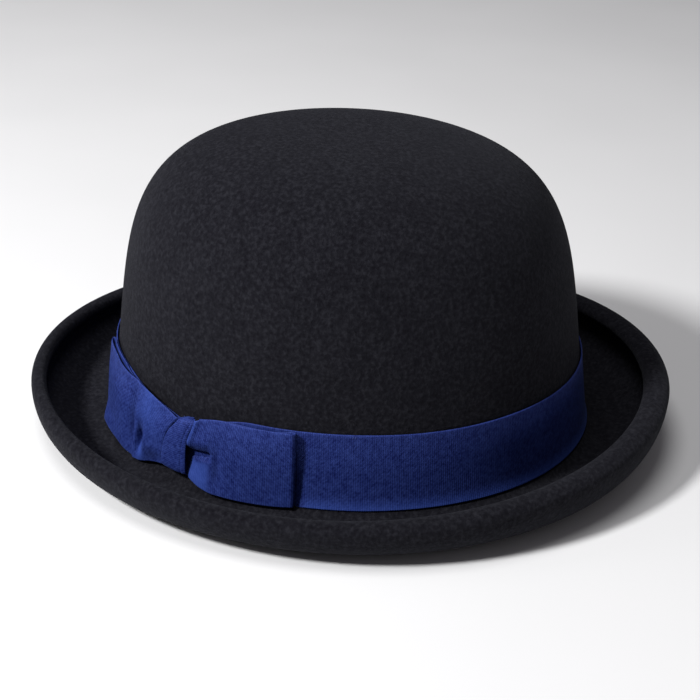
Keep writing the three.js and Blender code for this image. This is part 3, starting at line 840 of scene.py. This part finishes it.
def rear_painted_light(run, rise):
    edge, slit_width, upper = rear_fold(run, rise)
    # painted highlight on the lower petal, and painted shade on it towards the slit
    painted_light = 0.46 * (1 - upper) * (1 - smooth(run, 13.6, 18.2)) * smooth(run, 4, 8)
    rim = edge - slit_width
    shade = (1 - smooth(run, 14, 17)) * smooth(rise, rim - 0.07, rim - 0.01)
    painted_light = painted_light - 0.50 * (1 - upper) * shade
    # painted shade in the upright crease and along the upper lobe's edge
    crease = smooth(rise, 0.05, 0.30) * (1 - smooth(rise, 0.40, 0.75))
    painted_light = painted_light - 0.26 * hump(run, 19.2, 1.5) * crease
    lobe = (1 - smooth(run, 14, 19)) * (1 - smooth(rise, edge, edge + 0.16))
    painted_light = painted_light - 0.30 * upper * lobe
    # painted highlight low down near the fold, and on the raised edge beside the knot
    painted_light = painted_light + 0.14 * smooth(run, 38, 49) * (1 - smooth(rise, 0.10, 0.55))
    raised = hump(past_rear_edge(run, rise), 0.5, 0.7)
    return painted_light + 0.40 * raised * smooth(rise, 0.54, 0.62)


def bow_loop(which, side, reach, low, high, under_high, knot_edge, depth_of, painted_light_of):
    """One loop of the bow: out along an under layer, round a fold and back over the top.
    side is 1 towards the rear of the hat and -1 towards the front."""
    cols = 97
    rise = np.linspace(0, 1, cols)
    knot_height = curve(low, 4.0) + (curve(high, 4.0) - curve(low, 4.0)) * rise
    start = np.maximum(side * curve(knot_edge, knot_height) - TUCK, -3.5)
    end = reach[0] + (reach[1] - reach[0]) * rise
    end = end - FOLD - 0.175 * (1 - np.sin(np.pi * rise))
    under_start = start + TUCK - 0.6

    def heights(run, turn=1.0):
        """turn goes from 0 on the under layer to 1 on the outer one."""
        top = curve(under_high, run) * (1 - turn) + curve(high, run) * turn
        return curve(low, run) + (top - curve(low, run)) * rise

    # the last value in each row is painted light: a painted highlight above 0, painted shade
    # below 0
    rows = []  # each of run, height, depth and tone
    flat = np.zeros(cols)
    for f in np.linspace(0, 1, 44):
        run = under_start + (end - under_start) * f
        under = GAP + RIBBON / 2 + 0.05 + 0.2 * smooth(run, 20, 45)
        rows.append((run, heights(run, 0.0), under, flat))
    outer = depth_of(end, rise)
    middle, radius = (outer + under) / 2, (outer - under) / 2
    for a in np.radians(np.linspace(-90, 90, 17))[1:-1]:
        turned = heights(end, 0.5 + 0.5 * math.sin(a))
        rows.append((end + FOLD * math.cos(a), turned, middle + radius * math.sin(a), flat))
    for f in np.linspace(1, 0, 150) ** 1.15:
        run = start + (end - start) * f
        rows.append((run, heights(run), depth_of(run, rise), painted_light_of(run, rise)))
    runs, tall, depths, painted_lights = np.array(rows).swapaxes(0, 1)
    mid = on_band(BOW_PLACE + side * runs, tall, depths)
    step = np.linalg.norm(np.diff(mid[:, cols // 2], axis=0), axis=1)
    across = rise * BAND_HEIGHT
    loop = strip(
        f"ribbon_{which}_loop",
        mid,
        RIBBON * 0.8,
        BLUE,
        along=np.concatenate([[0], np.cumsum(step)])[:, None],
        across=across,
        margin=np.minimum(across, BAND_HEIGHT - across),
        painted_light=painted_lights,
        edge=0.04,
    )
    label(loop, f"bow_{which}_loop")
    # two points at mid height, 6 and 20 mm from the knot's middle, which nothing uses
    bend = [on_band(BOW_PLACE + side * run, 16, 1) / 1000 for run in (6.0, 20.0)]
    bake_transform(loop)


def signed_power(x, power):
    return np.sign(x) * np.abs(x) ** power


def knot():
    """Ribbon wrapped round the middle of the bow: a closed ring of ribbon, pinched a little."""
    # the ring's section: a squared oval of height and depth, closed on its first point
    turn = np.linspace(0, TAU, 240, endpoint=False)
    oval = np.stack(
        [
            16.9 + 12.1 * signed_power(np.sin(turn), 0.36),
            2.95 + 2.35 * signed_power(np.cos(turn), 0.55),
        ],
        -1,
    )
    oval = np.vstack([oval, oval[:1]])
    length = np.linalg.norm(np.diff(oval, axis=0), axis=1)
    length = np.concatenate([[0], np.cumsum(length)])
    along = np.linspace(0, length[-1], 180, endpoint=False)[:, None]
    height = np.interp(along, length, oval[:, 0])
    depth = np.interp(along, length, oval[:, 1])
    side = np.linspace(-1, 1, 41)
    # 1 on the outer face, 0 behind, where the ring is narrower
    face = smooth(depth, 2.0, 4.6)
    narrowing = 2.2 * (1 - face)
    front = curve(KNOT_FRONT, height) + narrowing
    rear = curve(KNOT_REAR, height) - narrowing
    middle = (front + rear) / 2
    run = middle + (rear - front) / 2 * side
    tilt = 0.17 * smooth(height, 16, 29)
    # the face swells in the middle, and a narrow fold runs down beside its rear edge
    crown = 0.42 - 0.62 * np.abs(side) ** 2.6
    crown = crown - 0.20 * hump(side, 0.66, 0.06) + 0.10 * hump(side, 0.82, 0.08)
    crown = crown - 0.07 * hump(side, -0.35, 0.10)
    bulge = face * crown + face * 0.30 * np.sin(np.pi * (height - 4.8) / 24.2)
    half_width = 6.5
    return strip(
        "ribbon_knot",
        on_band(BOW_PLACE + run, height + tilt * (run - middle), depth + bulge),
        RIBBON * 0.8,
        BLUE,
        along=along,
        across=side * half_width + half_width,
        margin=half_width - np.abs(side * half_width) + 0.45,
        wrap=True,
    )


bow_loop(
    "rear", 1, REAR_END, REAR_LOW, REAR_HIGH, REAR_UNDER, KNOT_REAR, rear_depth, rear_painted_light
)
bow_loop(
    "front", -1, FRONT_END, FRONT_LOW, FRONT_HIGH, FRONT_UNDER, KNOT_FRONT, front_depth,
    front_painted_light,
)
finish_piece(knot(), "bow_knot")

STITCH_SPACING = 0.9
# name, CAD piece, distance round the ribbon, lower and upper height, depth, count
TACKS = [
    ("bow_stitches_upper", "bow_tack_upper", BOW_PLACE + 1, 25.2, 26.8, -0.5, 3),
    ("bow_stitches_lower", "bow_tack_lower", BOW_PLACE, 2.0, 3.7, 0.45, 3),
    ("band_stitches_front", "hatband_tack_front", 4, 31.4, 32.6, 0.08, 2),
    ("band_stitches_left", "hatband_tack_left", 150, 31.4, 32.6, 0.08, 2),
    ("band_stitches_rear", "hatband_tack_rear", 262, 31.4, 32.6, 0.08, 2),
]
for name, node, place, low, high, depth, count in TACKS:
    stitches = []
    for k in range(count):
        along = place + (k - (count - 1) / 2) * STITCH_SPACING
        foot, head = on_band(along - 0.25, low, depth), on_band(along + 0.25, high, depth)
        stitches.append((foot, head, outward(angle_at(along))))
    tack = threads(name, stitches, radius=0.15, material=BLUE_THREAD, lift=0.08)
    finish_piece(tack, node)

# ---------------------------------------------------------------- inside the crown

# insets of the sweatband's two faces from the felt's outer face
SWEAT_OUT = FELT + GAP + 0.5 + 2 * GAP
SWEAT_IN = SWEAT_OUT + 1.2
SWEAT_FOOT, SWEAT_TOP = 1.9, 37.2


def sweatband():
    angles = full_turn(480)
    middle = (SWEAT_IN + SWEAT_OUT) / 2
    half_turn = np.linspace(0, np.pi, 7)[1:-1]
    rows = []
    # inner face from foot to top, a rolled top edge, then the outer face down and the foot
    for z in np.linspace(SWEAT_FOOT, SWEAT_TOP, 26):
        inset = SWEAT_IN - 0.1 + 0.35 * hump(z, SWEAT_FOOT, 1.0) + 0.25 * hump(z, 5.4, 0.7)
        inset = inset + 0.25 * smooth(z, 20, 37) * (1 + np.sin(5 * angles + 0.4)) * 0.5
        rows.append(on_crown(inset, z, angles))
    for a in half_turn:
        z = SWEAT_TOP + 0.1 + 0.6 * math.sin(a)
        rows.append(on_crown(middle + 0.5 * math.cos(a), z, angles))
    for z in np.linspace(SWEAT_TOP, SWEAT_FOOT, 20):
        rows.append(on_crown(SWEAT_OUT + 0.12, z, angles))
    for a in half_turn:
        z = SWEAT_FOOT - 0.6 * math.sin(a)
        rows.append(on_crown(middle - 0.5 * math.cos(a), z, angles))
    return swept("leather_sweatband", rows, LEATHER)


def welt_reed():
    """A thin cord round the sweatband's foot, with 190 slight beads."""
    angles = full_turn(720)
    centre = on_crown(SWEAT_OUT - GAP - 0.7, 2.0, angles)
    radius = (0.72 * (1 + 0.05 * np.sin(190 * angles)))[:, None]
    up = np.array([0, 0, 1.0])
    rows = [
        centre + outward(angles) * radius * math.cos(a) + up * radius * math.sin(a)
        for a in np.linspace(0, TAU, 14, endpoint=False)
    ]
    return swept("welt_reed", rows, REED)


def seam_stitches():
    """Slightly slanted stitches round the sweatband, near its foot."""
    count = 168
    inset = SWEAT_IN + 0.14
    stitches = []
    for k in range(count):
        first, last = TAU * (k + 0.14) / count, TAU * (k + 0.86) / count
        start, end = on_crown(inset, 3.5, first), on_crown(inset, 3.7, last)
        stitches.append((start, end, -outward(first)))
    return threads("sweatband_stitches", stitches, radius=0.24, material=PALE_THREAD, lift=0.14)


def tie_bow():
    """Small flat ribbon bow over the sweatband's back seam: two loops and a middle, one piece."""
    half_length = 14.5
    along = np.linspace(-half_length, half_length, 121)[:, None]
    side = np.linspace(-1, 1, 17)
    off = np.abs(along)  # distance from the bow's middle
    half = 1.9 + 3.0 * (1 - hump(along, 0, 3.6)) * (1 - 0.18 * off / half_length)
    z = 15 + half * side - 0.25 * off / 6
    # the loops puff up, with the middle raised between two dips and fine gathers beside it
    puff = 0.75 + 0.8 * hump(off, 6.5, 3.6) * (1 - side**2)
    puff = puff + 0.25 * hump(along, 0, 1.4) - 0.3 * hump(off, 2.6, 0.8)
    puff = puff + 0.12 * np.sin(9 * side) * hump(off, 3.4, 2.2)
    angle = np.pi - along / (HALF_WIDTH * 0.92)
    return strip(
        "seam_bow",
        on_crown(SWEAT_IN + 0.15 + puff, z, angle),
        0.5,
        TIE,
        along=along + 20,
        across=side * 5 + 5,
        margin=5 - np.abs(side * 5),
    )


def lining_side():
    angles = full_turn(480)
    heights = np.linspace(24.3, 101.7, 44)
    rows = []
    for z in heights:
        # soft tucks that fan down from the tip seam
        tuck = 0.455 * smooth(z, 45, 101) * (1 - np.abs(np.sin(18 * angles)) ** 0.5)
        uneven = ripple(angles + 0.01 * z, 7.0, 0.05)
        rows.append(on_crown(FELT + 0.95 + tuck + uneven, z, angles))
    rows += [on_crown(FELT + 0.55, z, angles) for z in heights[::-1]]
    return swept("satin_lining_side", rows, SATIN)


def lining_tip():
    angles = full_turn(480)
    seam = 102.4
    outer = FELT + 1.5
    inner = outer + 0.45
    rows = [on_crown(outer, z, angles) for z in dome_heights(outer, seam, 34)[::-1]]
    for z in dome_heights(inner, seam, 34):
        gather = 0.45 * hump(z, seam, 3.0) * (0.6 + 0.4 * np.sin(36 * angles))
        rows.append(on_crown(inner + gather, z, angles))
    poles = ((0, lean(TOP), TOP - outer), (0, lean(TOP), TOP - inner))
    return swept("satin_lining_tip", rows, SATIN, poles)


finish_piece(sweatband(), "sweatband")
finish_piece(welt_reed(), "sweatband_reed")
finish_piece(seam_stitches(), "sweatband_stitching")
finish_piece(tie_bow(), "sweatband_rear_bow")
finish_piece(lining_side(), "lining_side")
finish_piece(lining_tip(), "lining_tip")

# ---------------------------------------------------------------- floor, light, camera (metres)


def floor():
    mat = Shader("pale_floor")
    place = mat.add("ShaderNodeNewGeometry").outputs["Position"]
    cloud = mat.noise(place, scale=6)
    colour = mat.ramp(cloud, (0.3, (0.78, 0.78, 0.785)), (0.7, (0.81, 0.81, 0.815)))
    mat.set(Base_Color=colour, Roughness=0.8, Specular_IOR_Level=0.2)
    mesh = bpy.data.meshes.new("floor")
    half = 6.0
    corners = [(-half, -half, 0), (half, -half, 0), (half, half, 0), (-half, half, 0)]
    mesh.from_pydata(corners, [], [(0, 1, 2, 3)])
    mesh.materials.append(mat.material)
    ob = bpy.data.objects.new("floor", mesh)
    scene.collection.objects.link(ob)
    ob.location.z = -0.0004  # just under the brim


floor()

CAMERA_AZIMUTH = math.radians(86.6)  # from the hat's front towards its left
CAMERA_ELEVATION = math.radians(26.3)
CAMERA_ROLL = math.radians(-2.9)
CAMERA_DISTANCE = 0.616
TARGET = Vector((0, 0, 0.05))

to_camera = Vector(
    (
        math.sin(CAMERA_AZIMUTH) * math.cos(CAMERA_ELEVATION),
        -math.cos(CAMERA_AZIMUTH) * math.cos(CAMERA_ELEVATION),
        math.sin(CAMERA_ELEVATION),
    )
)
view_right = Vector((math.cos(CAMERA_AZIMUTH), math.sin(CAMERA_AZIMUTH), 0))


def add_camera():
    camera = bpy.data.cameras.new("camera")
    camera.lens = 72.6
    camera.sensor_width = 36
    camera.shift_x = -0.006714286
    camera.shift_y = -0.06157143
    camera.clip_start = 0.01
    ob = bpy.data.objects.new("camera", camera)
    scene.collection.objects.link(ob)
    view_up = to_camera.cross(view_right)
    rolled_right = view_right * math.cos(CAMERA_ROLL) - view_up * math.sin(CAMERA_ROLL)
    rolled_up = view_right * math.sin(CAMERA_ROLL) + view_up * math.cos(CAMERA_ROLL)
    place = TARGET + to_camera * CAMERA_DISTANCE
    columns = [v.to_4d() for v in (rolled_right, rolled_up, to_camera, place)]
    for column in columns[:3]:
        column.w = 0
    ob.matrix_world = Matrix(columns).transposed()
    scene.camera = ob


def area_light(name, azimuth, elevation, distance, size, power):
    """A disk aimed at the hat: degrees to the viewer's right of the camera and above the
    floor."""
    azimuth, elevation = math.radians(azimuth), math.radians(elevation)
    toward = Vector((to_camera.x, to_camera.y, 0)).normalized()
    flat = view_right * math.sin(azimuth) + toward * math.cos(azimuth)
    direction = flat * math.cos(elevation) + Vector((0, 0, math.sin(elevation)))
    direction.normalize()
    light = bpy.data.lights.new(name, "AREA")
    light.shape = "DISK"
    light.size = size
    light.energy = power
    ob = bpy.data.objects.new(name, light)
    scene.collection.objects.link(ob)
    ob.location = TARGET + direction * distance
    ob.rotation_euler = direction.to_track_quat("Z", "Y").to_euler()


add_camera()
area_light("key", azimuth=-58, elevation=42, distance=1.5, size=0.24, power=25.6)
area_light("top", azimuth=-50, elevation=78, distance=1.6, size=0.8, power=9.5)
area_light("low_side", azimuth=-82, elevation=22, distance=1.6, size=0.5, power=1.6)

world = bpy.data.worlds.new("studio")
world.use_nodes = True
background = world.node_tree.nodes["Background"]
background.inputs["Color"].default_value = (1.0, 0.96, 1.03, 1)
background.inputs["Strength"].default_value = 0.118
scene.world = world
scene.view_settings.view_transform = "Standard"
scene.view_settings.look = "None"
scene.view_settings.exposure = 0.0
scene.view_settings.gamma = 1.0
